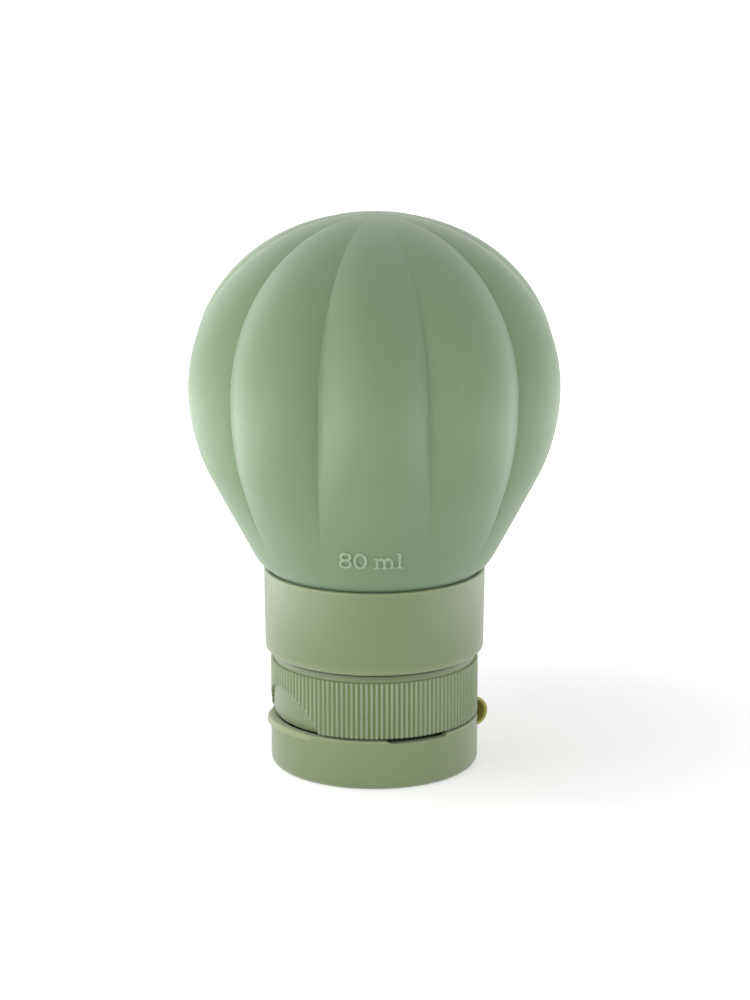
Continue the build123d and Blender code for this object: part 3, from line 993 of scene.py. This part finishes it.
# Painted glow: the strap's yellow-green stands in for light shining through the thin film of the cap's sage
# plastic.
THIN_GLOW_PAINTED_YELLOW_GREEN = (192, 190, 104)
LIGHT_REACH = 1.2 * MM
bow_radius = (STRAP_HALF_HEIGHT**2 + STRAP_REACH**2) / (2 * STRAP_REACH)
bow_middle = bow_radius - STRAP_THICKNESS / 2
bow_centre = HINGE_FLAT - (bow_radius - STRAP_REACH)
bow_end = math.acos((HINGE_FLAT - bow_centre) / bow_middle)
bow_bottom = hinge_height - bow_middle * math.sin(bow_end)
strap = start_mesh("hinge_strap_band")
pin_point((bow_centre + bow_middle * math.cos(bow_end), -STRAP_HALF_WIDTH, bow_bottom))
across = (0, 2 * STRAP_HALF_WIDTH / STRAP_COLUMNS, 0)
for column in range(STRAP_COLUMNS):
    bpy.ops.mesh.extrude_region_move(TRANSFORM_OT_translate={"value": across})
bpy.ops.mesh.select_all(action="SELECT")
bpy.ops.mesh.spin(
    steps=STRAP_BOW_STEPS, angle=2 * bow_end, center=(bow_centre, 0, hinge_height), axis=(0, 1, 0)
)
seal_up()
leave()
apply_modifier(strap, "SOLIDIFY", thickness=STRAP_THICKNESS, offset=0)
apply_modifier(strap, "BEVEL", width=STRAP_EDGE, segments=2, limit_method="ANGLE")
turn_to(strap, HINGE_AZIMUTH)
smooth(strap, 40)
strap_top = polar(HINGE_FLAT, HINGE_AZIMUTH, hinge_height + STRAP_HALF_HEIGHT)
strap_bottom = polar(HINGE_FLAT, HINGE_AZIMUTH, hinge_height - STRAP_HALF_HEIGHT)
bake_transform(strap)
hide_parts("hinge_strap")
# Partly painted light: the base colour is painted yellow-green for light through the thin film, and the
# shader's subsurface scattering also lets light through.
thin_plastic = moulded("thin_hinge_plastic", THIN_GLOW_PAINTED_YELLOW_GREEN, 0.4)
thin_plastic.feed("Subsurface Weight", 1)
thin_plastic.feed("Subsurface Radius", (1, 0.9, 0.35))
thin_plastic.feed("Subsurface Scale", LIGHT_REACH)
thin_plastic.put_on(strap)

# Valve and seals: a clear soft silicone disc with crossed slits, the white ring pressed in behind it
# and the pale foamed seal at the neck's end. The CAD solids are kept as they are.
CLEAR_SILICONE = (222, 224, 219)
FOAM_WHITE = (224, 224, 219)
FOAM_HOLLOW = (212, 212, 206)
FOAM_CREST = (230, 230, 226)
see_through = {"Transmission Weight": 0.35, "IOR": 1.41}
soft_clear = Finish("clear_valve_silicone", CLEAR_SILICONE, 0.34, **see_through)
soft_clear.feed("Roughness", 0.3 + soft_clear.noise(600, 3) * 0.1)
soft_clear.relief(soft_clear.noise(1800, 2), 0.008 * MM, 0.5)
soft_clear.put_on(frame["nodes"]["slit_valve"])
neck_plastic.put_on(frame["nodes"]["valve_retainer"])
foam = Finish("pale_seal_foam", FOAM_WHITE, 0.8)
foam.feed("Base Color", foam.tint(foam.noise(1500, 2), linear(FOAM_HOLLOW), linear(FOAM_CREST)))
foam.relief(foam.noise(5200, 2, 0.7), 0.03 * MM, 0.7)
foam.put_on(frame["nodes"]["seal_ring"])

# Floor, backdrop, lamps and camera: a white studio sweep with a soft box behind the bottle on either
# side and a fill in front at the left. Two lamps on the floor stand for the light that a white table
# throws back. The camera looks down on the bottle by about 14 degrees.
FLOOR_WHITE = (244, 244, 244)
# Centre of the painted shadow on the floor, to the right of and behind the bottle.
SHADE_MIDDLE = (0.03, 0.02, 0)
RAYS_THAT_SEE_WHITE = ("Is Camera Ray", "Is Glossy Ray", "Is Transmission Ray")
HORIZON_LIGHT = 0.54
ZENITH_LIGHT = 0.42
bpy.ops.object.select_all(action="DESELECT")
bpy.ops.mesh.primitive_plane_add(size=4, location=(0, 0, 0))
floor = part_of("sweep_floor")
floor_paint = Finish("white_sweep", FLOOR_WHITE, 0.9)
straight, mirrored, through_glass = (
    floor_paint.node("ShaderNodeLightPath", {}, {}, ray) for ray in RAYS_THAT_SEE_WHITE
)
# Painted shadow: the floor's glow is dimmer close to a point right of the bottle, for its contact shadow and
# the shadow it casts to the right.
out_of_shade = floor_paint.node(
    "ShaderNodeVectorMath", {"operation": "DISTANCE"}, {0: floor_paint.place(), 1: SHADE_MIDDLE}, "Value"
)
past_contact_shadow = floor_paint.band(out_of_shade, 0.01, 0.075)
past_shadow = floor_paint.band(out_of_shade, 0.08, 0.3)
glow_with_painted_shadow = 0.4 + past_contact_shadow * 0.26 + past_shadow * 0.3
floor_paint.feed("Emission Strength", 1)
floor_paint.feed("Emission Color", (straight + mirrored + through_glass) * glow_with_painted_shadow)
floor_paint.put_on(floor)

world = bpy.data.worlds.new("white_room")
bpy.context.scene.world = world
world.use_nodes = True
room = world.node_tree
room_light = room.nodes["Background"]
room_light.inputs["Color"].default_value = (1, 1, 1, 1)
room_rays = room.nodes.new("ShaderNodeLightPath")
sees_white = room_rays.outputs[RAYS_THAT_SEE_WHITE[0]]
for ray in RAYS_THAT_SEE_WHITE[1:]:
    either = room.nodes.new("ShaderNodeMath")
    either.operation = "MAXIMUM"
    room.links.new(sees_white, either.inputs[0])
    room.links.new(room_rays.outputs[ray], either.inputs[1])
    sees_white = either.outputs[0]
sky_place = room.nodes.new("ShaderNodeTexCoord")
sky_height = room.nodes.new("ShaderNodeSeparateXYZ")
room.links.new(sky_place.outputs["Generated"], sky_height.inputs[0])
ceiling = room.nodes.new("ShaderNodeMapRange")
ceiling.inputs["To Min"].default_value = HORIZON_LIGHT
ceiling.inputs["To Max"].default_value = ZENITH_LIGHT
room.links.new(sky_height.outputs["Z"], ceiling.inputs["Value"])
level = room.nodes.new("ShaderNodeMapRange")
level.inputs["To Max"].default_value = 1
room.links.new(ceiling.outputs["Result"], level.inputs["To Min"])
room.links.new(sees_white, level.inputs["Value"])
room.links.new(level.outputs["Result"], room_light.inputs["Strength"])


def soft_lamp(name, place, size, power, target):
    """A square soft box that looks at a target."""
    bpy.ops.object.light_add(type="AREA", location=place)
    lamp = bpy.context.object
    lamp.name = name
    lamp.data.size = size
    lamp.data.energy = power
    lamp.visible_camera = False
    lamp.rotation_euler = (lamp.location - Vector(target)).to_track_quat("Z", "Y").to_euler()


CAMERA_PITCH = math.radians(13.565)
CAMERA_DISTANCE = 0.5141
CAMERA_ASIDE = 0.0001
LENS = 113.9
MIDDLE = (0, 0, 0.04399)
soft_lamp("left_soft_box", (-0.88, 0.5, 0.45), 1.0, 2.8, MIDDLE)
soft_lamp("right_soft_box", (0.85, 0.42, 0.22), 0.6, 0.5, MIDDLE)
soft_lamp("front_fill", (-0.7, -0.65, 0.3), 0.8, 1.4, MIDDLE)
soft_lamp("left_floor_glow", (-0.36, 0, 0.001), 0.5, 1.6, (-0.36, 0, 1))
soft_lamp("right_floor_glow", (0.36, 0.08, 0.001), 0.5, 1.0, (0.36, 0.08, 1))
camera_height = MIDDLE[2] + CAMERA_DISTANCE * math.sin(CAMERA_PITCH)
bpy.ops.object.camera_add(
    location=(CAMERA_ASIDE, -CAMERA_DISTANCE * math.cos(CAMERA_PITCH), camera_height),
    rotation=(math.pi / 2 - CAMERA_PITCH, 0, 0),
)
camera = bpy.context.object
camera.data.sensor_fit = "VERTICAL"
camera.data.sensor_height = 36
camera.data.lens = LENS
bpy.context.scene.camera = camera
bpy.context.scene.view_settings.view_transform = "Standard"
